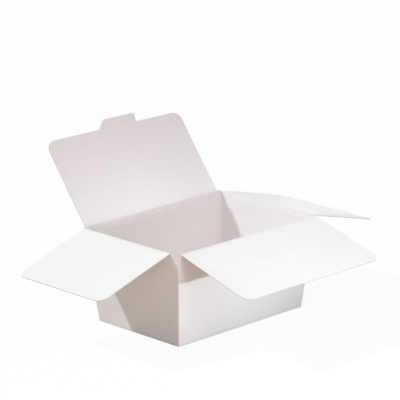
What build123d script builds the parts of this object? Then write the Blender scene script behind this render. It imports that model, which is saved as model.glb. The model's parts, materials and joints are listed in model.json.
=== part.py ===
"""Praline box: a folded paperboard tray with four creased top flaps, standing open."""
import os
from math import cos, radians, sin, tan

from build123d import *

os.makedirs("parts", exist_ok=True)

# Board and tray, in mm. The origin is the middle of the base's underside, the front is at -Y.
board = 0.5
mouth_length = 150.0
mouth_depth = 103.0
wall_height = 75.0
wall_flare = 5.9
fold_radius = 1.0

# Small V cut at each mouth corner, where two creases end. The one at the front left is wider.
relief_along_wall = 1.5
relief_drop = 1.0
wide_relief_along_front = 2.6
wide_relief_along_left = 8.9
wide_relief_drop = 6.0

# Flaps, measured from their creases.
lid_length = 72.5
lid_right_setback = 5.8
front_flap_length = 70.0
end_flap_length = 72.0
flap_corner_radius = 8.0

# Tuck tab on the lid's free edge, a little right of the middle, and its slit in the front flap.
tab_offset = 2.0
tab_base_width = 40.0
tab_tip_width = 33.0
tab_length = 8.2
tab_corner_radius = 1.5
tab_bend = 45.0
slit_width = 0.6
slit_end_clearance = 1.0

# How far each flap is swung open from shut, in degrees, as it stands in the photograph.
lid_open_angle = 127.0
front_flap_open_angle = 196.7
left_end_flap_open_angle = 197.5
right_end_flap_open_angle = 194.3

# Clearances: between shut flaps lying on each other, and between a flap's root and its wall.
stack_clearance = 0.1
crease_clearance = 0.12

# Worked out from the sizes above.
flare_run = tan(radians(wall_flare))
wall_across = board / cos(radians(wall_flare))
base_length = mouth_length - 2 * wall_height * flare_run
base_depth = mouth_depth - 2 * wall_height * flare_run
stack_step = board + stack_clearance
lid_crease_height = wall_height
front_crease_height = wall_height - stack_step
end_crease_height = wall_height - 2 * stack_step
mitre_angle = (90.0 - wall_flare) / 2
mitre_run = board / tan(radians(mitre_angle))
cut_over = 4 * wide_relief_drop


def half_at(mouth_size, height):
    """Half the tray's outside size at a height."""
    return mouth_size / 2 - (wall_height - height) * flare_run


def flap_plane(crease_point, along, inward, open_angle):
    """Plane on a flap's outer face: X along the crease, Y out along the flap, Z towards the inner face."""
    direction = inward * cos(radians(open_angle)) + Vector(0, 0, 1) * sin(radians(open_angle))
    return Plane(origin=crease_point, x_dir=along, z_dir=along.cross(direction))


long_half = half_at(mouth_length, lid_crease_height)
end_half = half_at(mouth_depth, end_crease_height)
long_crease_end = long_half - relief_along_wall
long_crease_wide_end = long_half - wide_relief_along_front
end_crease_end = end_half - relief_along_wall
end_crease_wide_end = end_half - wide_relief_along_left
lid_right_end = long_half - lid_right_setback
lid_crease = Vector(0, half_at(mouth_depth, lid_crease_height), lid_crease_height)
front_crease = Vector(0, -half_at(mouth_depth, front_crease_height), front_crease_height)
left_crease = Vector(-half_at(mouth_length, end_crease_height), 0, end_crease_height)
right_crease = Vector(half_at(mouth_length, end_crease_height), 0, end_crease_height)

lid_plane = flap_plane(lid_crease, Vector(1, 0, 0), Vector(0, -1, 0), lid_open_angle)
front_plane = flap_plane(front_crease, Vector(-1, 0, 0), Vector(0, 1, 0), front_flap_open_angle)
left_plane = flap_plane(left_crease, Vector(0, 1, 0), Vector(1, 0, 0), left_end_flap_open_angle)
right_plane = flap_plane(right_crease, Vector(0, -1, 0), Vector(-1, 0, 0), right_end_flap_open_angle)


def wall_top_points(half_span, crease_height):
    """Section, outward along X and up along Y, of what is cut off above a wall's mitred top."""
    inward_reach = 3 * board
    drop = inward_reach * tan(radians(mitre_angle))
    top = wall_height + cut_over
    return [
        (half_span, crease_height),
        (half_span - inward_reach, crease_height - drop),
        (half_span - inward_reach, top),
        (half_span + cut_over, top),
        (half_span + cut_over, crease_height),
    ]


def relief_points(side, crease_end, mouth_size, crease_height, drop):
    """Outline of the cut at one end of a wall: from the crease's end down to the corner and out."""
    corner = half_at(mouth_size, crease_height - drop)
    slope = drop / (corner - crease_end)
    out = corner + cut_over
    return [
        (side * crease_end, crease_height),
        (side * crease_end, wall_height + cut_over),
        (side * out, wall_height + cut_over),
        (side * out, crease_height - slope * (out - crease_end)),
    ]


# Tray: the outside and the inside as tapered blocks with their folds rounded, one cut from the other.
with BuildPart() as tray_outside:
    with BuildSketch(Plane.XY):
        Rectangle(base_length, base_depth)
    with BuildSketch(Plane.XY.offset(wall_height)):
        Rectangle(mouth_length, mouth_depth)
    loft(ruled=True)
    outside_folds = tray_outside.edges().filter_by(lambda edge: edge.center().Z < wall_height - board)
    fillet(outside_folds, radius=fold_radius)

inside_length = base_length + 2 * board * flare_run - 2 * wall_across
inside_depth = base_depth + 2 * board * flare_run - 2 * wall_across
with BuildPart() as tray_inside:
    with BuildSketch(Plane.XY.offset(board)):
        Rectangle(inside_length, inside_depth)
    with BuildSketch(Plane.XY.offset(wall_height)):
        Rectangle(mouth_length - 2 * wall_across, mouth_depth - 2 * wall_across)
    loft(ruled=True)
    inside_folds = tray_inside.edges().filter_by(lambda edge: edge.center().Z < wall_height - board)
    fillet(inside_folds, radius=fold_radius - board)

with BuildPart() as tray:
    add(tray_outside.part)
    add(tray_inside.part, mode=Mode.SUBTRACT)
    # Mitred tops at the four crease heights.
    for turn, crease_height in ((90, lid_crease_height), (-90, front_crease_height)):
        with BuildSketch(Plane.XZ.rotated((0, 0, turn))):
            with BuildLine():
                Polyline(wall_top_points(half_at(mouth_depth, crease_height), crease_height), close=True)
            make_face()
        extrude(amount=mouth_length, both=True, mode=Mode.SUBTRACT)
    end_wall_half = half_at(mouth_length, end_crease_height)
    for turn in (0, 180):
        with BuildSketch(Plane.XZ.rotated((0, 0, turn))):
            with BuildLine():
                Polyline(wall_top_points(end_wall_half, end_crease_height), close=True)
            make_face()
        extrude(amount=mouth_depth, both=True, mode=Mode.SUBTRACT)
    # V cuts at the mouth corners: each is cut through its long wall and through its end wall.
    for side_x, side_y, long_end, end_end, drop in (
        (-1, -1, long_crease_wide_end, end_crease_wide_end, wide_relief_drop),
        (1, -1, long_crease_end, end_crease_end, relief_drop),
        (1, 1, long_crease_end, end_crease_end, relief_drop),
        (-1, 1, long_crease_end, end_crease_end, relief_drop),
    ):
        reach = wall_across + drop * flare_run + board
        long_height = lid_crease_height if side_y > 0 else front_crease_height
        with BuildSketch(Plane.XZ.offset(-side_y * (mouth_depth / 2 - reach))):
            with BuildLine():
                Polyline(relief_points(side_x, long_end, mouth_length, long_height, drop), close=True)
            make_face()
        extrude(amount=-side_y * (reach + cut_over), mode=Mode.SUBTRACT)
        with BuildSketch(Plane.YZ.offset(side_x * (mouth_length / 2 - reach))):
            with BuildLine():
                Polyline(relief_points(side_y, end_end, mouth_depth, end_crease_height, drop), close=True)
            make_face()
        extrude(amount=side_x * (reach + cut_over), mode=Mode.SUBTRACT)
tray.part.label = "tray"
export_step(tray.part, "parts/tray.step")


def sheet_outline(first, last, length):
    """Corners of a flap from one crease end to the other and out to its free edge."""
    return [(first, 0), (last, 0), (last, length), (first, length)]


def root_points():
    """Section through a flap's root of what its mitre cuts off: Y out along the flap, Z into the board."""
    return [
        (-board, -board),
        (crease_clearance - mitre_run, -board),
        (crease_clearance + 2 * mitre_run, 2 * board),
        (-board, 2 * board),
    ]


def section_plane(sheet_plane):
    """Plane across a flap's crease: X out along the flap, Y into its board."""
    return Plane(origin=sheet_plane.origin, x_dir=sheet_plane.y_dir, z_dir=sheet_plane.x_dir)


# Lid flap: on the back wall, with the tuck tab bent forward from its free edge.
tab_plane = Plane(
    origin=lid_plane.from_local_coords(Vector(0, lid_length, 0)),
    x_dir=lid_plane.x_dir,
    z_dir=lid_plane.z_dir.rotate(Axis((0, 0, 0), lid_plane.x_dir), tab_bend),
)
with BuildPart() as lid_flap:
    with BuildSketch(lid_plane):
        with BuildLine():
            Polyline(sheet_outline(-long_crease_end, lid_right_end, lid_length), close=True)
        lid_sheet = make_face()
        fillet(lid_sheet.vertices().group_by(Axis.Y)[-1], radius=flap_corner_radius)
    extrude(amount=board)
    with BuildSketch(tab_plane):
        with BuildLine():
            Polyline(
                (tab_offset - tab_base_width / 2, 0),
                (tab_offset + tab_base_width / 2, 0),
                (tab_offset + tab_tip_width / 2, tab_length),
                (tab_offset - tab_tip_width / 2, tab_length),
                close=True,
            )
        tab_sheet = make_face()
        fillet(tab_sheet.vertices().group_by(Axis.Y)[-1], radius=tab_corner_radius)
    extrude(amount=board)
    with BuildSketch(section_plane(lid_plane)):
        with BuildLine():
            Polyline(root_points(), close=True)
        make_face()
    extrude(amount=mouth_length, both=True, mode=Mode.SUBTRACT)
lid_flap.part.label = "lid_flap"
export_step(lid_flap.part, "parts/lid_flap.step")

# Front flap: on the front wall, with the slit where the shut lid's free edge comes.
slit_from_crease = mouth_depth - lid_length
slit_length = tab_base_width + 2 * slit_end_clearance
with BuildPart() as front_flap:
    with BuildSketch(front_plane):
        with BuildLine():
            Polyline(sheet_outline(-long_crease_end, long_crease_wide_end, front_flap_length), close=True)
        front_sheet = make_face()
        fillet(front_sheet.vertices().group_by(Axis.Y)[-1], radius=flap_corner_radius)
        with Locations((-tab_offset, slit_from_crease)):
            SlotOverall(slit_length, slit_width, mode=Mode.SUBTRACT)
    extrude(amount=board)
    with BuildSketch(section_plane(front_plane)):
        with BuildLine():
            Polyline(root_points(), close=True)
        make_face()
    extrude(amount=mouth_length, both=True, mode=Mode.SUBTRACT)
front_flap.part.label = "front_flap"
export_step(front_flap.part, "parts/front_flap.step")

# End flaps: on the two short walls, shut first and so with the lowest creases.
with BuildPart() as left_end_flap:
    with BuildSketch(left_plane):
        with BuildLine():
            Polyline(sheet_outline(-end_crease_wide_end, end_crease_end, end_flap_length), close=True)
        left_sheet = make_face()
        fillet(left_sheet.vertices().group_by(Axis.Y)[-1], radius=flap_corner_radius)
    extrude(amount=board)
    with BuildSketch(section_plane(left_plane)):
        with BuildLine():
            Polyline(root_points(), close=True)
        make_face()
    extrude(amount=mouth_depth, both=True, mode=Mode.SUBTRACT)
left_end_flap.part.label = "left_end_flap"
export_step(left_end_flap.part, "parts/left_end_flap.step")

with BuildPart() as right_end_flap:
    with BuildSketch(right_plane):
        with BuildLine():
            Polyline(sheet_outline(-end_crease_end, end_crease_end, end_flap_length), close=True)
        right_sheet = make_face()
        fillet(right_sheet.vertices().group_by(Axis.Y)[-1], radius=flap_corner_radius)
    extrude(amount=board)
    with BuildSketch(section_plane(right_plane)):
        with BuildLine():
            Polyline(root_points(), close=True)
        make_face()
    extrude(amount=mouth_depth, both=True, mode=Mode.SUBTRACT)
right_end_flap.part.label = "right_end_flap"
export_step(right_end_flap.part, "parts/right_end_flap.step")
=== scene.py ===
"""Looks of the praline box: its folded board, creases, cut edges, studio light and camera."""
import json
import logging
import math
from dataclasses import dataclass, field
from enum import Enum
from typing import Optional, Union

import bmesh
import bpy
import numpy as np
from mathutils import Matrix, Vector


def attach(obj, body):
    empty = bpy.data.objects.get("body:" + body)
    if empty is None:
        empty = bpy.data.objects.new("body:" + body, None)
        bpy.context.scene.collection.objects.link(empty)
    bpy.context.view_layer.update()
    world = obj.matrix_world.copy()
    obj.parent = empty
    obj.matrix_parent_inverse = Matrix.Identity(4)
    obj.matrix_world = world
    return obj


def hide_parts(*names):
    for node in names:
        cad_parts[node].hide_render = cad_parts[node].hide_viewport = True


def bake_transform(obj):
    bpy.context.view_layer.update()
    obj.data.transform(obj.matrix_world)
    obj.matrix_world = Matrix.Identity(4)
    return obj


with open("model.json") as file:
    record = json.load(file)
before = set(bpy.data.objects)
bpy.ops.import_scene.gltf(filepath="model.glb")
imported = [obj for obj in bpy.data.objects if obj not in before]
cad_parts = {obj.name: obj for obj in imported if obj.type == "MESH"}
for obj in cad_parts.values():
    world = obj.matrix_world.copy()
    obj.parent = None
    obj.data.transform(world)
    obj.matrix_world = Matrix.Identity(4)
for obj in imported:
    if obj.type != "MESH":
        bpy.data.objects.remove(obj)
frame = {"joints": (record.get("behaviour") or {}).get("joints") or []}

Array = np.ndarray
Triple = tuple[float, float, float]
Pair = tuple[float, float]
Socket = bpy.types.NodeSocket
Colour = Union[Socket, Triple]
Fold = Union[Array, float]

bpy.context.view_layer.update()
# Mesh attribute for how creased each point is, which sets the painted shade and scuffing along creases, folds
# and corners.
FOLD_ATTRIBUTE = "fold"
MM = 0.001
X_AXIS = np.array([1.0, 0.0, 0.0])
Y_AXIS = np.array([0.0, 1.0, 0.0])
UP = np.array([0.0, 0.0, 1.0])

log = logging.getLogger("praline_box")


class Face(Enum):
    """The three surfaces of a sheet of board, numbered as the material slots of every piece."""

    OUTER = 0
    INNER = 1
    CUT = 2


class Operation(Enum):
    """What a math node does with its two values."""

    ADD = "ADD"
    MULTIPLY = "MULTIPLY"


class Nodes:
    """A node tree, with short ways to add the nodes that the looks are made of."""

    def __init__(self, tree: bpy.types.NodeTree) -> None:
        """Keeps the tree that nodes are added to."""
        self.tree = tree

    def add(self, kind: str) -> bpy.types.Node:
        """Adds a node of a kind."""
        return self.tree.nodes.new(kind)

    def link(self, source: Socket, target: Socket) -> None:
        """Joins an output to an input."""
        self.tree.links.new(source, target)

    def noise(self, place: Socket, scale: Triple, detail: float) -> Socket:
        """Adds a noise texture.

        Args:
            place: where the texture is read.
            scale: waves per metre along each axis.
            detail: octaves.

        Returns:
            The noise, from 0 to 1.
        """
        stretch = self.add("ShaderNodeMapping")
        stretch.inputs["Scale"].default_value = scale
        self.link(place, stretch.inputs["Vector"])
        node = self.add("ShaderNodeTexNoise")
        node.inputs["Scale"].default_value = 1.0
        node.inputs["Detail"].default_value = detail
        self.link(stretch.outputs["Vector"], node.inputs["Vector"])
        return node.outputs["Fac"]

    def remap(self, value: Socket, source: Pair = (0.0, 1.0), target: Pair = (0.0, 1.0)) -> Socket:
        """Maps a value from one range to another, clamped.

        Args:
            value: the value.
            source: the range that it comes from.
            target: the range that it goes to.

        Returns:
            The mapped value.
        """
        node = self.add("ShaderNodeMapRange")
        node.inputs["From Min"].default_value, node.inputs["From Max"].default_value = source
        node.inputs["To Min"].default_value, node.inputs["To Max"].default_value = target
        self.link(value, node.inputs["Value"])
        return node.outputs["Result"]

    def combine(self, operation: Operation, first: Socket, second: Union[Socket, float]) -> Socket:
        """Adds or multiplies two values.

        Args:
            operation: what is done.
            first: a value.
            second: a value or a number.

        Returns:
            The result.
        """
        node = self.add("ShaderNodeMath")
        node.operation = operation.value
        self.link(first, node.inputs[0])
        if isinstance(second, float):
            node.inputs[1].default_value = second
        else:
            self.link(second, node.inputs[1])
        return node.outputs[0]

    def mix_colour(self, factor: Socket, first: Colour, second: Colour) -> Socket:
        """Mixes two colours.

        Args:
            factor: 0 gives the first colour, 1 the second.
            first: a colour as three numbers, or a socket.
            second: a colour as three numbers, or a socket.

        Returns:
            The mixed colour.
        """
        node = self.add("ShaderNodeMix")
        node.data_type = "RGBA"
        self.link(factor, node.inputs["Factor"])
        first_input, second_input, result = node.inputs[6], node.inputs[7], node.outputs[2]
        for socket, colour in ((first_input, first), (second_input, second)):
            if isinstance(colour, tuple):
                socket.default_value = (*colour, 1.0)
            else:
                self.link(colour, socket)
        return result

    def mix_shader(self, factor: Socket, first: Socket, second: Socket) -> Socket:
        """Mixes two shaders.

        Args:
            factor: 0 gives the first shader, 1 the second.
            first: a shader.
            second: a shader.

        Returns:
            The mixed shader.
        """
        node = self.add("ShaderNodeMixShader")
        for source, target in zip((factor, first, second), node.inputs):
            self.link(source, target)
        return node.outputs[0]


@dataclass(frozen=True)
class BoardFinish:
    """How one surface of the board looks.

    A scale is in waves per metre along each axis, a detail in octaves, and limits are the noise where a
    pattern begins to show and where it shows fully. Colours are linear, and strengths go from 0 to 1.

    Attributes:
        colour: the board's own colour.
        fleck_colour: colour of the sparse fibres and of the soft clouding.
        fleck: strength of the fibres.
        crease_shade_and_scuff_colour: colour that creases, folds and corners are darkened towards: painted
            shade along with scuffing.
        roughness: lowest and highest roughness.
        grain: height of the paper's grain, in metres.
        cross_fibre_scale: scale of the fibres that lie across the others.
    """

    name: str
    colour: Triple
    fleck_colour: Triple
    clouding: float
    fleck: float
    crease_shade_and_scuff_colour: Triple
    roughness: Pair
    grain: float
    specular: float
    cloud_scale: Triple = (90.0, 90.0, 90.0)
    cloud_detail: float = 4.0
    cloud_limits: Pair = (0.35, 0.7)
    fibre_scale: Triple = (900.0, 2600.0, 1500.0)
    cross_fibre_scale: Triple = (2700.0, 800.0, 1900.0)
    fibre_detail: float = 3.0
    speck_limits: Pair = (0.66, 0.74)
    shade_and_scuff: float = 0.5
    shade_and_scuff_scale: Triple = (7000.0, 7000.0, 7000.0)
    shade_and_scuff_detail: float = 2.0
    shade_and_scuff_limits: Pair = (0.2, 0.8)
    grain_strength: float = 0.6

    def pattern(self, nodes: Nodes, place: Socket, fibre: Socket) -> Socket:
        """Mixes the colour: soft clouding, then sparse fibres, then painted shade with scuffing at creases,
        folds and corners.

        Args:
            nodes: the material's nodes.
            place: Object coordinates.
            fibre: noise whose peaks are the fibres.

        Returns:
            The colour.
        """
        cloud = nodes.remap(nodes.noise(place, self.cloud_scale, self.cloud_detail), self.cloud_limits)
        cloud = nodes.combine(Operation.MULTIPLY, cloud, self.clouding)
        clouded = nodes.mix_colour(cloud, self.colour, self.fleck_colour)
        specks = nodes.combine(Operation.MULTIPLY, nodes.remap(fibre, self.speck_limits), self.fleck)
        flecked = nodes.mix_colour(specks, clouded, self.fleck_colour)
        # Painted shade with scuffing: darker towards the crease colour where the fold attribute marks
        # creases, folds and corners, broken up by fine noise.
        fold = nodes.add("ShaderNodeAttribute")
        fold.attribute_name = FOLD_ATTRIBUTE
        creased = nodes.combine(Operation.MULTIPLY, fold.outputs["Fac"], self.shade_and_scuff)
        shade_and_scuff_breakup = nodes.remap(nodes.noise(place, self.shade_and_scuff_scale, self.shade_and_scuff_detail), self.shade_and_scuff_limits)
        return nodes.mix_colour(nodes.combine(Operation.MULTIPLY, creased, shade_and_scuff_breakup), flecked, self.crease_shade_and_scuff_colour)

    def build(self) -> bpy.types.Material:
        """Makes the material: its colour, a roughness that follows the fibres, and a fibrous grain.

        Returns:
            The finished material, all on Object coordinates and the mesh's own fold attribute.
        """
        material = bpy.data.materials.new(self.name)
        material.use_nodes = True
        nodes = Nodes(material.node_tree)
        place = nodes.add("ShaderNodeTexCoord").outputs["Object"]
        fibre = nodes.noise(place, self.fibre_scale, self.fibre_detail)
        cross_fibre = nodes.noise(place, self.cross_fibre_scale, self.fibre_detail)
        bump = nodes.add("ShaderNodeBump")
        bump.inputs["Distance"].default_value = self.grain
        bump.inputs["Strength"].default_value = self.grain_strength
        nodes.link(nodes.combine(Operation.ADD, fibre, cross_fibre), bump.inputs["Height"])
        shader = nodes.tree.nodes["Principled BSDF"]
        shader.inputs["Specular IOR Level"].default_value = self.specular
        nodes.link(self.pattern(nodes, place, cross_fibre), shader.inputs["Base Color"])
        nodes.link(nodes.remap(fibre, target=self.roughness), shader.inputs["Roughness"])
        nodes.link(bump.outputs["Normal"], shader.inputs["Normal"])
        return material

    def material(self) -> bpy.types.Material:
        """The finish's material, made when it is first used."""
        return bpy.data.materials.get(self.name) or self.build()


# Each finish's crease colour is what creases, folds and corners darken towards: painted shade along with
# scuffing.
FINISHES = {
    Face.OUTER: BoardFinish(
        "board_outer", colour=(0.893, 0.86, 0.86), fleck_colour=(0.79, 0.77, 0.75), clouding=0.1, fleck=0.35,
        crease_shade_and_scuff_colour=(0.70, 0.68, 0.66), roughness=(0.48, 0.66), grain=0.03 * MM, specular=0.4,
    ),
    Face.INNER: BoardFinish(
        "board_inner", colour=(0.90, 0.846, 0.850), fleck_colour=(0.80, 0.74, 0.735), clouding=0.1, fleck=0.5,
        crease_shade_and_scuff_colour=(0.72, 0.66, 0.64), roughness=(0.65, 0.85), grain=0.05 * MM, specular=0.25,
    ),
    Face.CUT: BoardFinish(
        "board_cut_edge", colour=(0.70, 0.67, 0.63), fleck_colour=(0.55, 0.51, 0.46), clouding=0.6, fleck=0.7,
        crease_shade_and_scuff_colour=(0.60, 0.56, 0.52), roughness=(0.85, 0.95), grain=0.08 * MM, specular=0.15,
    ),
}


class SheetMesh:
    """Collects grids of points and turns them into one closed mesh with a material for each surface."""

    MERGE_DISTANCE = 0.002 * MM
    SHORTEST_EDGE = 0.001 * MM
    SHARP_ANGLE = 40.0

    def __init__(self) -> None:
        """Starts with nothing in it."""
        self.points: list[Array] = []
        self.faces: list[Array] = []
        self.kinds: list[Array] = []
        self.folds: list[Array] = []
        self.count = 0

    def add_grid(
        self, grid: Array, kind: Face, flip: bool,
        fold: Fold = 0.0, wrap: bool = False, keep: Optional[Array] = None,
    ) -> None:
        """Adds a grid of points as quads.

        Args:
            grid: points, rows by columns by 3.
            kind: which surface of the board it is.
            flip: turns the quads over.
            fold: how creased each point is, from 0 to 1, which sets the painted shade and scuffing, broadcast
                over the grid.
            wrap: joins the last column to the first.
            keep: which quads to make, rows - 1 by columns - 1 (or columns with wrap).
        """
        rows, columns = grid.shape[:2]
        number = np.arange(rows * columns).reshape(rows, columns) + self.count
        along = np.concatenate([number, number[:, :1]], axis=1) if wrap else number
        quads = np.stack([along[:-1, :-1], along[:-1, 1:], along[1:, 1:], along[1:, :-1]], axis=-1)
        if keep is not None:
            quads = quads[keep]
        quads = quads.reshape(-1, 4)
        self.points.append(grid.reshape(-1, 3))
        self.faces.append(quads[:, ::-1] if flip else quads)
        self.kinds.append(np.full(len(quads), kind.value))
        self.folds.append(np.broadcast_to(fold, (rows, columns)).reshape(-1))
        self.count += rows * columns

    def add_sheet(
        self, outer: Array, inner: Array, folds: tuple[Fold, Fold],
        inner_kind: Face = Face.INNER, keep: Optional[Array] = None,
    ) -> None:
        """Adds the two faces of a sheet and the cut edges round it.

        Args:
            outer: points of the outer face, rows by columns by 3.
            inner: points of the inner face, in the same order.
            folds: how creased the points of each face are.
            inner_kind: which surface the inner face looks like.
            keep: which quads of the faces to make.
        """
        self.add_grid(outer, Face.OUTER, flip=True, fold=folds[0], keep=keep)
        self.add_grid(inner, inner_kind, flip=False, fold=folds[1], keep=keep)
        for line, flip in ((0, False), (-1, True)):
            self.add_grid(np.stack([outer[line], inner[line]]), Face.CUT, flip=flip)
        for line, flip in ((0, True), (-1, False)):
            self.add_grid(np.stack([outer[:, line], inner[:, line]]), Face.CUT, flip=flip)

    def merge_doubles(self, mesh: bpy.types.Mesh) -> None:
        """Joins the points that two neighbouring grids share, and drops faces that shrink to nothing.

        Args:
            mesh: the mesh, changed in place.
        """
        work = bmesh.new()
        work.from_mesh(mesh)
        bmesh.ops.remove_doubles(work, verts=work.verts, dist=self.MERGE_DISTANCE)
        bmesh.ops.dissolve_degenerate(work, edges=work.edges, dist=self.SHORTEST_EDGE)
        work.to_mesh(mesh)
        work.free()

    def build(self, name: str) -> bpy.types.Object:
        """Makes the object, with doubled points merged and flat cut edges kept crisp.

        Args:
            name: the piece's name.

        Returns:
            The piece, in the scene, at the origin.
        """
        mesh = bpy.data.meshes.new(name)
        points, faces = np.concatenate(self.points), np.concatenate(self.faces)
        mesh.from_pydata(points.tolist(), [], faces.tolist())
        for face in Face:
            mesh.materials.append(FINISHES[face].material())
        mesh.polygons.foreach_set("material_index", np.concatenate(self.kinds).astype(np.int32))
        attribute = mesh.attributes.new(FOLD_ATTRIBUTE, "FLOAT", "POINT")
        attribute.data.foreach_set("value", np.concatenate(self.folds).astype(np.float32))
        self.merge_doubles(mesh)
        mesh.polygons.foreach_set("use_smooth", np.ones(len(mesh.polygons), dtype=bool))
        mesh.set_sharp_from_angle(angle=math.radians(self.SHARP_ANGLE))
        piece = bpy.data.objects.new(name, mesh)
        bpy.context.scene.collection.objects.link(piece)
        return piece


def smooth_step(value: Array) -> Array:
    """The curve 3t^2 - 2t^3 on 0..1, flat at both ends."""
    t = np.clip(value, 0.0, 1.0)
    return t * t * (3.0 - 2.0 * t)


@dataclass
class Board:
    """The sheet that everything is folded from, in metres and degrees.

    Attributes:
        fold_radius: outer radius of the tray's folds.
        wall_flare: how far a wall leans out of the vertical.
        crease_clearance: gap between a flap's root and its wall.
        crease_reach: how far from a crease the painted shade and scuffing reach.
    """

    thickness: float = 0.5 * MM
    fold_radius: float = 1.0 * MM
    wall_flare: float = 5.9
    crease_clearance: float = 0.12 * MM
    crease_reach: float = 2.2 * MM

    @property
    def flare(self) -> float:
        """The flare, in radians."""
        return math.radians(self.wall_flare)

    @property
    def mitre_run(self) -> float:
        """How far a crease's mitre, at half the angle from wall to shut flap, runs along the inner face."""
        return self.thickness / math.tan((math.pi / 2 - self.flare) / 2)


@dataclass(frozen=True)
class WallTop:
    """One side of the mouth, walked anticlockwise seen from above.

    Attributes:
        nx, ny: its outward normal.
        size: length of the side.
        samples: points along the crease.
        height: height of the crease.
        reliefs: how far from its first and its last corner the crease ends.
        drop: depth of the V cut at its last corner.
    """

    nx: float
    ny: float
    size: float
    samples: int
    height: float
    reliefs: Pair
    drop: float


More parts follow.
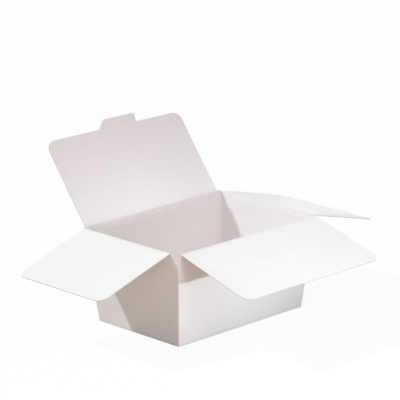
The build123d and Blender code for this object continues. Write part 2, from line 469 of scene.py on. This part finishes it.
@dataclass
class Tray:
    """The folded tray: base, four flared walls, rounded folds and the V cuts at the mouth corners.

    Attributes:
        relief_along_wall: how far a V cut reaches along a wall.
        wide_relief_along_front: reach of the wide V cut, at the front left, along the front wall.
        wide_relief_along_left: its reach along the left wall.
        stack_step: how much lower each crease is than the one that shuts over it.
        wall_bow: how far the middle of a wall is bowed inwards.
        base_fold_reach: how far up the wall the painted shade and scuffing of the base's folds reach, in fold
            radii.
        row_crowding: exponent that sets a wall's rows closer together towards its top.
    """

    board: Board
    mouth_length: float = 150.0 * MM
    mouth_depth: float = 103.0 * MM
    wall_height: float = 75.0 * MM
    relief_along_wall: float = 1.5 * MM
    relief_drop: float = 1.0 * MM
    wide_relief_along_front: float = 2.6 * MM
    wide_relief_along_left: float = 8.9 * MM
    wide_relief_drop: float = 6.0 * MM
    stack_step: float = 0.6 * MM
    wall_bow: float = 0.35 * MM
    base_fold_reach: float = 2.5
    row_crowding: float = 0.9
    samples_long: int = 72
    samples_end: int = 56
    samples_relief: int = 5
    samples_corner: int = 7
    wall_rows: int = 30
    fold_rows: int = 6
    base_rings: int = 9

    @property
    def run(self) -> float:
        """How far a wall leans out for each unit of height."""
        return math.tan(self.board.flare)

    def sides(self) -> tuple[WallTop, ...]:
        """The four sides of the mouth.

        Returns:
            Front, right, back and left.
        """
        small, drop, top, step = self.relief_along_wall, self.relief_drop, self.wall_height, self.stack_step
        long, end = (self.mouth_length, self.samples_long), (self.mouth_depth, self.samples_end)
        return (
            WallTop(0.0, -1.0, *long, top - step, (self.wide_relief_along_front, small), drop),
            WallTop(1.0, 0.0, *end, top - 2 * step, (small, small), drop),
            WallTop(0.0, 1.0, *long, top, (small, small), drop),
            WallTop(
                -1.0, 0.0, *end, top - 2 * step, (small, self.wide_relief_along_left), self.wide_relief_drop
            ),
        )

    def perimeter(self) -> dict[str, Array]:
        """Walks round the mouth's rounded rectangle.

        A point is (a * (half length - radius) + radius * nx, b * (half depth - radius) + radius * ny). On a
        straight side one of a, b is 1 or -1 and the other runs along it; at a corner both are fixed and the
        normal turns.

        Returns:
            Arrays a, b, nx, ny, the crease height at each point, and drop, how deep the V cut is there.
        """
        sides = self.sides()
        runs = []
        for index, side in enumerate(sides):
            before, following = sides[index - 1], sides[(index + 1) % len(sides)]
            span = side.size / 2 - self.board.fold_radius
            corner = side.size / 2 / span
            first, last = (corner - relief / span for relief in side.reliefs)
            along = np.concatenate([
                np.linspace(-1.0, -first, self.samples_relief)[:-1],
                np.linspace(-first, last, side.samples),
                np.linspace(last, 1.0, self.samples_relief)[1:],
            ])
            cut = before.drop * np.clip((-along - first) / (corner - first), 0.0, 1.0)
            cut = cut + side.drop * np.clip((along - last) / (corner - last), 0.0, 1.0)
            runs.append(np.broadcast_arrays(
                side.nx - side.ny * along, side.ny + side.nx * along, side.nx, side.ny, side.height, cut
            ))
            turn = np.linspace(0.0, 1.0, self.samples_corner + 2)[1:-1]
            angle = math.atan2(side.ny, side.nx) + turn * math.pi / 2
            height = side.height + (following.height - side.height) * turn
            a, b = side.nx + following.nx, side.ny + following.ny
            runs.append(np.broadcast_arrays(a, b, np.cos(angle), np.sin(angle), height, side.drop))
        names = ("a", "b", "nx", "ny", "height", "drop")
        return {name: np.concatenate(parts) for name, parts in zip(names, zip(*runs))}

    def ring(self, walk: dict[str, Array], grow: Array, height: Array, radius: float) -> Array:
        """Points of the walk at given heights.

        Args:
            walk: the perimeter.
            grow: how much larger than the base's half sizes each row is, broadcast over the walk.
            height: z of each row, broadcast over the walk.
            radius: corner radius.

        Returns:
            Points, rows by walk by 3.
        """
        foot = self.wall_height * self.run
        half_x = self.mouth_length / 2 - foot + grow
        half_y = self.mouth_depth / 2 - foot + grow
        x = walk["a"] * (half_x - radius) + radius * walk["nx"]
        y = walk["b"] * (half_y - radius) + radius * walk["ny"]
        return np.stack(np.broadcast_arrays(x, y, height), axis=-1)

    def skin(
        self, walk: dict[str, Array], inset: float, floor: float, radius: float, top: Array
    ) -> tuple[Array, Array]:
        """One skin of the tray, from the edge of its flat base up to the mouth.

        In section a wall is a straight line that leans out by the flare, joined to the base by an arc of the
        fold's radius: out = r (sin p - tan(turn / 2)), up = r (1 - cos p), with p from 0 to the turn of 90
        degrees less the flare. The wall is then bowed inwards by bow (1 - s^2) sin(pi up / height), with s
        from -1 to 1 along the side.

        Args:
            walk: the perimeter.
            inset: how far inside the outer skin it is, level with the base.
            floor: height of its base.
            radius: radius of its folds.
            top: height of its last row at each point of the walk.

        Returns:
            Points, rows by walk by 3, and how creased each point is.
        """
        turn = math.pi / 2 - self.board.flare
        phase = np.linspace(0.0, turn, self.fold_rows)[:, None]
        start = floor * self.run - inset
        fold_out = start + radius * (np.sin(phase) - math.tan(turn / 2))
        fold_up = floor + radius * (1.0 - np.cos(phase))
        share = np.linspace(0.0, 1.0, self.wall_rows)[1:, None] ** self.row_crowding
        wall_up = fold_up[-1] + share * (top[None, :] - fold_up[-1])
        side = np.where(np.abs(walk["nx"]) > np.abs(walk["ny"]), walk["b"], walk["a"])
        rise = np.clip(wall_up / self.wall_height, 0.0, 1.0)
        bow = self.wall_bow * (1.0 - side[None, :] ** 2) * np.sin(math.pi * rise)
        wall_out = wall_up * self.run - inset - bow
        out = np.concatenate([np.broadcast_to(fold_out, (self.fold_rows, len(top))), wall_out])
        up = np.concatenate([np.broadcast_to(fold_up, (self.fold_rows, len(top))), wall_up])
        # How creased each point is sets the painted shade and scuffing: full on the rounded corners, fading
        # up from the base's folds and down from the mouth's crease.
        corner = (walk["nx"] * walk["ny"] != 0.0).astype(float)[None, :]
        low = 1.0 - smooth_step((up - floor) / (self.base_fold_reach * self.board.fold_radius))
        high = 1.0 - smooth_step((top[None, :] - up) / self.board.crease_reach)
        return self.ring(walk, out, up, radius), np.maximum(np.maximum(low, high), corner)

    def build(self) -> bpy.types.Object:
        """Makes the tray from its outer and inner skins, their flat bases and the cut edge round the mouth.

        Returns:
            The tray, riding on its body.
        """
        walk = self.perimeter()
        thickness, radius = self.board.thickness, self.board.fold_radius
        across = thickness / math.cos(self.board.flare)
        outer_top = walk["height"] - walk["drop"]
        mitre_drop = self.board.mitre_run * math.cos(self.board.flare)
        inner_top = outer_top - mitre_drop * (walk["drop"] <= 0.0)
        outer, outer_fold = self.skin(walk, 0.0, 0.0, radius, outer_top)
        inner, inner_fold = self.skin(walk, across, thickness, radius - thickness, inner_top)
        sheet = SheetMesh()
        sheet.add_grid(outer, Face.OUTER, flip=False, fold=outer_fold, wrap=True)
        sheet.add_grid(inner, Face.INNER, flip=True, fold=inner_fold, wrap=True)
        sheet.add_grid(np.stack([outer[-1], inner[-1]]), Face.CUT, flip=False, wrap=True)
        shrink = np.linspace(1.0, 0.0, self.base_rings)[:, None, None]
        for skin, kind, flip in ((outer, Face.OUTER, True), (inner, Face.INNER, False)):
            middle = UP * skin[0, 0, 2]
            sheet.add_grid(middle + shrink * (skin[0][None] - middle), kind, flip=flip, wrap=True)
        piece = sheet.build("tray_board")
        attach(piece, "tray")
        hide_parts("tray")
        return piece


@dataclass
class Flap:
    """A flap: a sheet with rounded free corners, swung open about its crease.

    Attributes:
        along: unit vector along the crease.
        inward: unit vector from the crease towards the box's middle.
        open_angle: how far it is swung open from shut, in degrees.
        first: where the sheet begins along the crease.
        last: where it ends.
        length: from the crease to the free edge.
        arch: warp towards the inner side, halfway out, over the whole width.
        bow: further warp in the middle of the width.
        slit_from_crease: how far out the slit is.
        slit_length: length of the slit, 0 for none.
        notch_width: width of the notch where the tab's bend begins, 0 for none.
        notch_slant: how far the notch's sides lean.
        detail_middle: where the middle of the slit or notch is along the crease.
    """

    board: Board
    name: str
    body: str
    along: Array
    inward: Array
    open_angle: float
    first: float
    last: float
    length: float
    corner_radius: float = 8.0 * MM
    arch: float = 0.0
    bow: float = 0.1 * MM
    slit_from_crease: float = 0.0
    slit_length: float = 0.0
    slit_width: float = 0.12 * MM
    notch_width: float = 0.0
    notch_depth: float = 0.0
    notch_slant: float = 0.025 * MM
    detail_middle: float = 0.0
    rows: int = 40
    corner_rows: int = 14
    columns: int = 60

    @property
    def crease(self) -> Array:
        """Middle of the hinge line, from the frame's joints."""
        joint = next(joint for joint in frame["joints"] if joint["name"] == f"{self.body}_crease")
        return np.array(joint["pos_m"], float)

    @property
    def width(self) -> float:
        """Length of the crease."""
        return self.last - self.first

    @property
    def middle(self) -> float:
        """Middle of the crease, from the hinge's own middle."""
        return (self.first + self.last) / 2

    def direction(self) -> Array:
        """Unit vector out along the flap."""
        angle = math.radians(self.open_angle)
        return self.inward * math.cos(angle) + UP * math.sin(angle)

    def into(self) -> Array:
        """Unit vector from the outer face to the inner face."""
        return np.cross(self.along, self.direction())

    def place(self, x: Array, y: Array, z: Array) -> Array:
        """Puts flap coordinates into the frame.

        Args:
            x: along the crease from the hinge's middle.
            y: out along the flap.
            z: into the board from the outer face.

        Returns:
            Points in the frame, one more axis than the inputs.
        """
        x, y, z = (value[..., None] for value in np.broadcast_arrays(x, y, z))
        return self.crease + x * self.along + y * self.direction() + z * self.into()

    def half_width(self, y: Array) -> Array:
        """Half the sheet's width at y: W / 2 - r + sqrt(r^2 - p^2), with p how far y is past L - r."""
        past = np.clip(y - (self.length - self.corner_radius), 0.0, self.corner_radius)
        return self.width / 2 - self.corner_radius + np.sqrt(self.corner_radius**2 - past**2)

    def lift(self, share: Array, y: Array) -> Array:
        """Warp towards the inner side: (arch + bow (1 - share^2)) 4 t (1 - t), with t = y / length."""
        t = y / self.length
        return (self.arch + self.bow * (1.0 - share**2)) * 4.0 * t * (1.0 - t)

    def stations(self, start: float) -> Array:
        """Rows out along the flap, closer at the rounded corners, with the slit's two edges among them.

        Args:
            start: where the first row is.

        Returns:
            Distances from the crease, in order.
        """
        straight = self.length - self.corner_radius
        turn = np.linspace(0.0, math.pi / 2, self.corner_rows)[1:]
        corner = straight + self.corner_radius * np.sin(turn)
        rows = np.concatenate([[start], np.linspace(0.0, straight, self.rows)[1:], corner])
        if self.slit_length:
            edges = self.slit_from_crease + self.slit_width / 2 * np.array([-1.0, 1.0])
            rows = np.concatenate([rows[np.abs(rows - self.slit_from_crease) > self.slit_width], edges])
        return np.sort(rows)

    def detail_half(self) -> float:
        """Half the sheet's width at the slit, or at the bottom of the notch under the tab."""
        notch_bottom = np.array(self.length - self.notch_depth)
        return self.width / 2 if self.slit_length else float(self.half_width(notch_bottom))

    def from_detail(self, share: Array) -> Array:
        """Distance along the crease from the middle of the slit or notch."""
        return self.middle + share * self.detail_half() - self.detail_middle

    def shares(self) -> Array:
        """Columns across the flap, with the ends of the slit and of the tab's notch among them.

        Returns:
            Shares of the half width, from -1 to 1, in order.
        """
        columns = np.linspace(-1.0, 1.0, self.columns)
        reach = np.array([])
        if self.slit_length:
            reach = self.slit_length / 2 * np.array([-1.0, 1.0])
        if self.notch_width:
            half = self.notch_width / 2 + self.notch_slant * np.array([0.0, 1.0])
            reach = np.concatenate([-half, half])
        ends = (self.detail_middle - self.middle + reach) / self.detail_half()
        least_gap = 0.5 / self.columns
        near = np.abs(columns[:, None] - ends[None, :]) < least_gap
        return np.sort(np.concatenate([columns[~near.any(axis=1)], ends]))

    def face(self, start: float, depth: float) -> tuple[Array, Array, Array]:
        """One face of the sheet: x = middle + share * half width(y), y, and z = depth + warp.

        Args:
            start: where the face begins, out from the crease.
            depth: its depth into the board.

        Returns:
            Points, how creased each is, and which quads are solid (the slit's are not).
        """
        y, share = self.stations(start)[:, None], self.shares()[None, :]
        if self.notch_width:
            in_notch = np.abs(self.from_detail(share)) <= (self.notch_width + self.notch_slant) / 2
            y = np.minimum(y, self.length - self.notch_depth * in_notch)
        grid = self.place(self.middle + share * self.half_width(y), y, depth + self.lift(share, y))
        # Painted shade and scuffing fade out over the crease's reach from the root.
        fold = 1.0 - smooth_step((y - start) / self.board.crease_reach)
        middle_y, middle_share = (y[1:, :1] + y[:-1, :1]) / 2, (share[:, 1:] + share[:, :-1]) / 2
        in_slit = np.abs(middle_y - self.slit_from_crease) < self.slit_width / 2
        in_slit = in_slit & (np.abs(self.from_detail(middle_share)) < self.slit_length / 2)
        return grid, fold, ~in_slit

    def build(self) -> bpy.types.Object:
        """Makes the flap from its two faces, its cut edges, its mitred root and the slit's walls.

        Returns:
            The flap, riding on its body.
        """
        clearance = self.board.crease_clearance
        outer, outer_fold, solid = self.face(clearance, 0.0)
        inner, inner_fold, _ = self.face(clearance + self.board.mitre_run, self.board.thickness)
        sheet = SheetMesh()
        sheet.add_sheet(outer, inner, (outer_fold, inner_fold), keep=solid)
        if self.slit_length:
            self.line_slit(sheet, outer, inner, solid)
        piece = sheet.build(self.name)
        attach(piece, self.body)
        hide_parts(f"{self.body}_flap")
        return piece

    def line_slit(self, sheet: SheetMesh, outer: Array, inner: Array, solid: Array) -> None:
        """Adds the four walls of the slit, between the two faces.

        Args:
            sheet: the mesh to add to.
            outer: points of the outer face.
            inner: points of the inner face.
            solid: which quads of the faces are made.
        """
        rows, columns = np.nonzero(~solid)
        low, high = rows.min(), rows.max() + 1
        left, right = columns.min(), columns.max() + 1
        for line, flip in (
            ((low, slice(left, right + 1)), True),
            ((high, slice(left, right + 1)), False),
            ((slice(low, high + 1), left), False),
            ((slice(low, high + 1), right), True),
        ):
            sheet.add_grid(np.stack([outer[line], inner[line]]), Face.CUT, flip=flip)


@dataclass
class TuckTab:
    """The tab on the lid's free edge: a sheet carried round a bend and then straight on.

    Attributes:
        offset: how far right of the box's middle it is.
        length: from the lid's free edge to the tip.
        corner_radius: radius of the tip's corners.
        bend: how far it is bent forward, in degrees.
    """

    board: Board
    offset: float = 2.0 * MM
    base_width: float = 40.0 * MM
    tip_width: float = 33.0 * MM
    length: float = 8.2 * MM
    corner_radius: float = 1.5 * MM
    bend: float = 45.0
    bend_radius: float = 0.9 * MM
    bend_rows: int = 9
    straight_rows: int = 12
    corner_rows: int = 8
    columns: int = 24

    @property
    def bend_arc(self) -> float:
        """Length of the bend along the outer face."""
        return self.bend_radius * math.radians(self.bend)

    @property
    def setback(self) -> float:
        """How far before the lid's free edge the bend begins, so that its two tangents meet at that edge."""
        return self.bend_radius * math.tan(math.radians(self.bend) / 2)

    def stations(self) -> Array:
        """Rows along the tab, closer in the bend and at the rounded tip.

        Returns:
            Distances along the outer face from where the bend begins.
        """
        straight_end = self.bend_arc + self.length - self.setback - self.corner_radius
        turn = np.linspace(0.0, math.pi / 2, self.corner_rows)[1:]
        return np.concatenate([
            np.linspace(0.0, self.bend_arc, self.bend_rows),
            np.linspace(self.bend_arc, straight_end, self.straight_rows)[1:],
            straight_end + self.corner_radius * np.sin(turn),
        ])

    def build(self, lid: Flap) -> bpy.types.Object:
        """Makes the tab: two faces a board apart, square to the path, and its cut edges.

        With s the distance along the outer face, R the bend's radius and p = s / R up to the bend's angle,
        the face is R sin p + (s - arc) cos p out along the lid and R (1 - cos p) + (s - arc) sin p into it.

        Args:
            lid: the flap that carries it.

        Returns:
            The tab, riding on the lid's body.
        """
        along = self.stations()
        end = along[-1]
        angle = np.clip(along / self.bend_radius, 0.0, math.radians(self.bend))
        beyond = np.clip(along - self.bend_arc, 0.0, None)
        out = self.bend_radius * np.sin(angle) + beyond * np.cos(angle)
        into = self.bend_radius * (1.0 - np.cos(angle)) + beyond * np.sin(angle)
        past = np.clip(along - (end - self.corner_radius), 0.0, self.corner_radius)
        taper = self.base_width + (self.tip_width - self.base_width) * along / end
        half = taper / 2 - self.corner_radius + np.sqrt(self.corner_radius**2 - past**2)
        share = np.linspace(-1.0, 1.0, self.columns)[None, :]
        # Painted shade and scuffing fade out over the crease's reach from where the bend begins.
        fold = 1.0 - smooth_step(along[:, None] / self.board.crease_reach)
        start = lid.length - self.setback
        lid_share = (self.offset - lid.middle + share * half[0]) / (lid.width / 2)
        lift = lid.lift(lid_share, np.full((1, 1), start))
        outer, inner = (
            lid.place(
                self.offset + share * half[:, None],
                (start + out - depth * np.sin(angle))[:, None],
                lift + (into + depth * np.cos(angle))[:, None],
            )
            for depth in (0.0, self.board.thickness)
        )
        sheet = SheetMesh()
        # In the photograph the tab is more neutral than the lid, so both its sides have the outer finish.
        sheet.add_sheet(outer, inner, (fold, fold), inner_kind=Face.OUTER)
        piece = sheet.build("lid_tuck_tab")
        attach(piece, lid.body)
        return piece


@dataclass
class CreaseBead:
    """The bent board at a crease: the wall's inner face carried round the hinge line on to the flap's.

    Attributes:
        flap: the flap at the crease.
        blend_share: how much of the arc would bend when the flap turns; not used.
    """

    flap: Flap
    blend_share: float = 0.9
    arc_rows: int = 15
    columns: int = 40

    def build(self) -> bpy.types.Object:
        """Makes the bead between the tray and the flap.

        In section it runs from the wall's mitre up to the level of the hinge line, round it in an arc of the
        board's thickness t, point(p) = t (cos p, sin p) with p from the flare to the open angle less 90
        degrees, then out to the flap's mitre. The hinge line closes the section.

        Returns:
            The bead, with its points already placed in the frame.
        """
        board, flap = self.flap.board, self.flap
        swung = math.radians(flap.open_angle)
        turn = np.linspace(board.flare, swung - math.pi / 2, self.arc_rows)
        arc = board.thickness * np.stack([np.cos(turn), np.sin(turn)], axis=-1)
        wall_down = np.array([math.sin(board.flare), -math.cos(board.flare)])
        flap_out = np.array([math.cos(swung), math.sin(swung)])
        first = arc[0] + wall_down * board.mitre_run
        last = arc[-1] + flap_out * (board.mitre_run + board.crease_clearance)
        section = np.concatenate([first[None], arc, last[None]])
        rows = section[:, :1] * flap.inward + section[:, 1:] * UP
        share = np.linspace(-1.0, 1.0, self.columns)
        hinge = flap.crease + (flap.middle + share * flap.width / 2)[None, :, None] * flap.along
        skin = hinge + rows[:, None, :]
        sheet = SheetMesh()
        # The whole bead carries the painted shade and scuffing.
        sheet.add_grid(skin, Face.INNER, flip=False, fold=1.0)
        sheet.add_grid(np.concatenate([hinge, skin[:1]]), Face.CUT, flip=False)
        sheet.add_grid(np.concatenate([skin[-1:], hinge]), Face.CUT, flip=False)
        for column, flip in ((0, True), (-1, False)):
            edge = skin[:, column]
            fan = np.stack([edge, np.broadcast_to(hinge[0, column], edge.shape)], axis=1)
            sheet.add_grid(fan, Face.CUT, flip=flip)
        piece = sheet.build(f"{flap.name}_crease")
        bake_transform(piece)
        return piece


class LampShape(Enum):
    """Outline of an area lamp."""

    RECTANGLE = "RECTANGLE"
    DISK = "DISK"


@dataclass(frozen=True)
class AreaLamp:
    """An area lamp, in metres, watts and degrees.

    Attributes:
        place: where it stands.
        aim: what it is aimed at.
        size: its width and height.
        spread: angle of its beam, which a grid narrows.
    """

    name: str
    place: Triple
    aim: Triple
    size: Pair
    power: float
    colour: Triple
    spread: float = 180.0
    shape: LampShape = LampShape.RECTANGLE


@dataclass
class Studio:
    """Floor, light and camera, in metres and degrees, with lens and sensor in millimetres and lamps in watts.

    The azimuth is turned from the front towards the right. The floor has one colour where the camera sees it
    and another in the light that it throws back, and the white share of what is seen is plain white; the rest
    shows the box's shadow. The first three area lamps light the front wall, the lid and the right end flap.
    """

    camera_azimuth: float = -45.08
    camera_elevation: float = 15.81
    camera_distance: float = 1.8051
    camera_reach: float = 50.0
    lens: float = 212.6
    sensor: float = 36.0
    aim_across: float = -0.9 * MM
    aim_up: float = 91.64 * MM
    floor_half: float = 6.0
    floor_pale: Triple = (0.92, 0.92, 0.92)
    floor_bounce: Triple = (0.62, 0.50, 0.43)
    floor_white_share: float = 0.93
    floor_roughness: float = 0.9
    ambient: float = 0.481
    ambient_colour: Triple = (0.985, 1.0, 1.0)
    key_travel: Triple = (0.5, -0.51, -0.735)
    key_strength: float = 1.73
    key_angle: float = 2.0
    key_colour: Triple = (0.845, 1.0, 0.97)
    area_lamps: tuple[AreaLamp, ...] = (
        AreaLamp(
            "fill", place=(0.0, -0.6, 0.076), aim=(0.0, -0.05, 0.03), size=(0.19, 0.01),
            power=0.040, colour=(0.76, 0.88, 0.98), spread=22.0,
        ),
        AreaLamp(
            "lid_strip", place=(-0.12, -0.95, 0.13), aim=(-0.03, 0.06, 0.093), size=(0.16, 0.012),
            power=0.0041, colour=(0.835, 0.89, 1.0), spread=8.0,
        ),
        AreaLamp(
            "end_strip", place=(0.145, 0.0, 0.5), aim=(0.115, -0.005, 0.064), size=(0.09, 0.05),
            power=0.0058, colour=(0.815, 0.957, 1.0), spread=18.0,
        ),
        AreaLamp(
            "soft", place=(-0.45, -0.95, 0.95), aim=(0.0, 0.0, 0.09164), size=(0.6, 0.6),
            power=4.42, colour=(1.0, 0.905, 0.89), shape=LampShape.DISK,
        ),
    )

    def floor(self) -> bpy.types.Object:
        """Lays a plain pale floor that the camera sees as white, with the box's shadow kept on it.

        Returns:
            The floor.
        """
        half = self.floor_half
        mesh = bpy.data.meshes.new("floor")
        corners = [(-half, -half, 0.0), (half, -half, 0.0), (half, half, 0.0), (-half, half, 0.0)]
        mesh.from_pydata(corners, [], [(0, 1, 2, 3)])
        material = bpy.data.materials.new("floor_white")
        material.use_nodes = True
        nodes = Nodes(material.node_tree)
        shader = nodes.tree.nodes["Principled BSDF"]
        shader.inputs["Roughness"].default_value = self.floor_roughness
        seen = nodes.add("ShaderNodeLightPath").outputs["Is Camera Ray"]
        nodes.link(nodes.mix_colour(seen, self.floor_bounce, self.floor_pale), shader.inputs["Base Color"])
        glow = nodes.add("ShaderNodeEmission")
        glow.inputs["Strength"].default_value = 1.0
        white = nodes.combine(Operation.MULTIPLY, seen, self.floor_white_share)
        surface = nodes.mix_shader(white, shader.outputs[0], glow.outputs[0])
        nodes.link(surface, nodes.tree.nodes["Material Output"].inputs["Surface"])
        mesh.materials.append(material)
        piece = bpy.data.objects.new("floor", mesh)
        bpy.context.scene.collection.objects.link(piece)
        return piece

    def sky(self) -> None:
        """Soft light from all round, white where the camera looks straight at it."""
        world = bpy.data.worlds.new("studio")
        bpy.context.scene.world = world
        world.use_nodes = True
        nodes = Nodes(world.node_tree)
        soft = nodes.tree.nodes["Background"]
        soft.inputs["Color"].default_value = (*self.ambient_colour, 1.0)
        soft.inputs["Strength"].default_value = self.ambient
        white = nodes.add("ShaderNodeBackground")
        white.inputs["Color"].default_value = (1.0, 1.0, 1.0, 1.0)
        white.inputs["Strength"].default_value = 1.0
        seen = nodes.add("ShaderNodeLightPath").outputs["Is Camera Ray"]
        surface = nodes.mix_shader(seen, soft.outputs[0], white.outputs[0])
        nodes.link(surface, nodes.tree.nodes["World Output"].inputs["Surface"])

    def lamps(self) -> None:
        """A key from high behind on the left, narrow strips, and a soft disk in front."""
        key = bpy.data.lights.new("key", "SUN")
        key.energy = self.key_strength
        key.color = self.key_colour
        key.angle = math.radians(self.key_angle)
        self.put(key, Vector((0.0, 0.0, 1.0)), Vector(self.key_travel))
        for lamp in self.area_lamps:
            light = bpy.data.lights.new(lamp.name, "AREA")
            light.shape = lamp.shape.value
            light.size, light.size_y = lamp.size
            light.spread = math.radians(lamp.spread)
            light.energy = lamp.power
            light.color = lamp.colour
            self.put(light, Vector(lamp.place), Vector(lamp.aim) - Vector(lamp.place))

    def put(self, data: bpy.types.ID, place: Vector, travel: Vector) -> bpy.types.Object:
        """Puts a lamp or a camera in the scene.

        Args:
            data: its settings.
            place: where it stands.
            travel: which way it faces.

        Returns:
            The lamp or camera.
        """
        item = bpy.data.objects.new(data.name, data)
        item.location = place
        item.rotation_mode = "QUATERNION"
        item.rotation_quaternion = travel.to_track_quat("-Z", "Y")
        bpy.context.scene.collection.objects.link(item)
        return item

    def camera(self) -> None:
        """Sets the camera at the photograph's angle, aimed a little to the side of the box's middle."""
        azimuth, elevation = math.radians(self.camera_azimuth), math.radians(self.camera_elevation)
        back = Vector((
            math.sin(azimuth) * math.cos(elevation),
            -math.cos(azimuth) * math.cos(elevation),
            math.sin(elevation),
        ))
        rightward = Vector((math.cos(azimuth), math.sin(azimuth), 0.0))
        aim = rightward * self.aim_across + Vector((0.0, 0.0, self.aim_up))
        data = bpy.data.cameras.new("camera")
        data.lens = self.lens
        data.sensor_width = self.sensor
        data.clip_end = self.camera_reach
        bpy.context.scene.camera = self.put(data, aim + back * self.camera_distance, -back)

    def build(self) -> None:
        """Sets the view transform, then the floor, the light and the camera."""
        bpy.context.scene.view_settings.view_transform = "Standard"
        self.floor()
        self.sky()
        self.lamps()
        self.camera()


@dataclass
class PralineBox:
    """The whole box: tray, flaps, tab and creases, in metres and degrees."""

    board: Board = field(default_factory=Board)
    lid_length: float = 72.5 * MM
    lid_right_setback: float = 5.8 * MM
    lid_open_angle: float = 127.0
    lid_arch: float = -0.3 * MM
    lid_bow: float = -0.15 * MM
    front_flap_length: float = 70.0 * MM
    front_flap_open_angle: float = 196.7
    front_flap_arch: float = -0.15 * MM
    end_flap_length: float = 72.0 * MM
    left_end_flap_open_angle: float = 197.5
    right_end_flap_open_angle: float = 194.3
    end_flap_arch: float = 0.35 * MM
    slit_end_clearance: float = 1.0 * MM

    def flaps(self, tray: Tray, tab: TuckTab) -> list[Flap]:
        """The four flaps as they stand open.

        Args:
            tray: the tray, for the sizes that the flaps share with it.
            tab: the tuck tab, for the notch where its bend begins and the slit that it goes into.

        Returns:
            Lid, front flap, left end flap and right end flap.
        """
        long_half = tray.mouth_length / 2
        end_half = tray.mouth_depth / 2 - 2 * tray.stack_step * tray.run
        long_end, end_end = long_half - tray.relief_along_wall, end_half - tray.relief_along_wall
        lid = Flap(
            self.board, "lid_board", "lid", X_AXIS, -Y_AXIS, self.lid_open_angle,
            first=-long_end, last=long_half - self.lid_right_setback, length=self.lid_length,
            arch=self.lid_arch, bow=self.lid_bow,
            notch_width=tab.base_width, notch_depth=tab.setback, detail_middle=tab.offset,
        )
        front = Flap(
            self.board, "front_flap_board", "front", -X_AXIS, Y_AXIS, self.front_flap_open_angle,
            first=-long_end, last=long_half - tray.wide_relief_along_front, length=self.front_flap_length,
            arch=self.front_flap_arch, slit_from_crease=tray.mouth_depth - self.lid_length,
            slit_length=tab.base_width + 2 * self.slit_end_clearance, detail_middle=-tab.offset,
        )
        left = Flap(
            self.board, "left_end_flap_board", "left_end", Y_AXIS, X_AXIS, self.left_end_flap_open_angle,
            first=tray.wide_relief_along_left - end_half, last=end_end, length=self.end_flap_length,
            arch=self.end_flap_arch,
        )
        right = Flap(
            self.board, "right_end_flap_board", "right_end", -Y_AXIS, -X_AXIS, self.right_end_flap_open_angle,
            first=-end_end, last=end_end, length=self.end_flap_length, arch=self.end_flap_arch,
        )
        return [lid, front, left, right]

    def build(self) -> list[bpy.types.Object]:
        """Makes every piece in order.

        Returns:
            The tray, the four flaps, the tab and the four creases.
        """
        tray, tab = Tray(self.board), TuckTab(self.board)
        flaps = self.flaps(tray, tab)
        return [
            tray.build(),
            *(flap.build() for flap in flaps),
            tab.build(flaps[0]),
            *(CreaseBead(flap).build() for flap in flaps),
        ]


def main() -> None:
    """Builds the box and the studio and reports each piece."""
    logging.basicConfig(level=logging.INFO, format="%(name)s %(message)s")
    for piece in PralineBox().build():
        log.info("%s: %d faces", piece.name, len(piece.data.polygons))
    Studio().build()


if __name__ == "__main__":
    main()
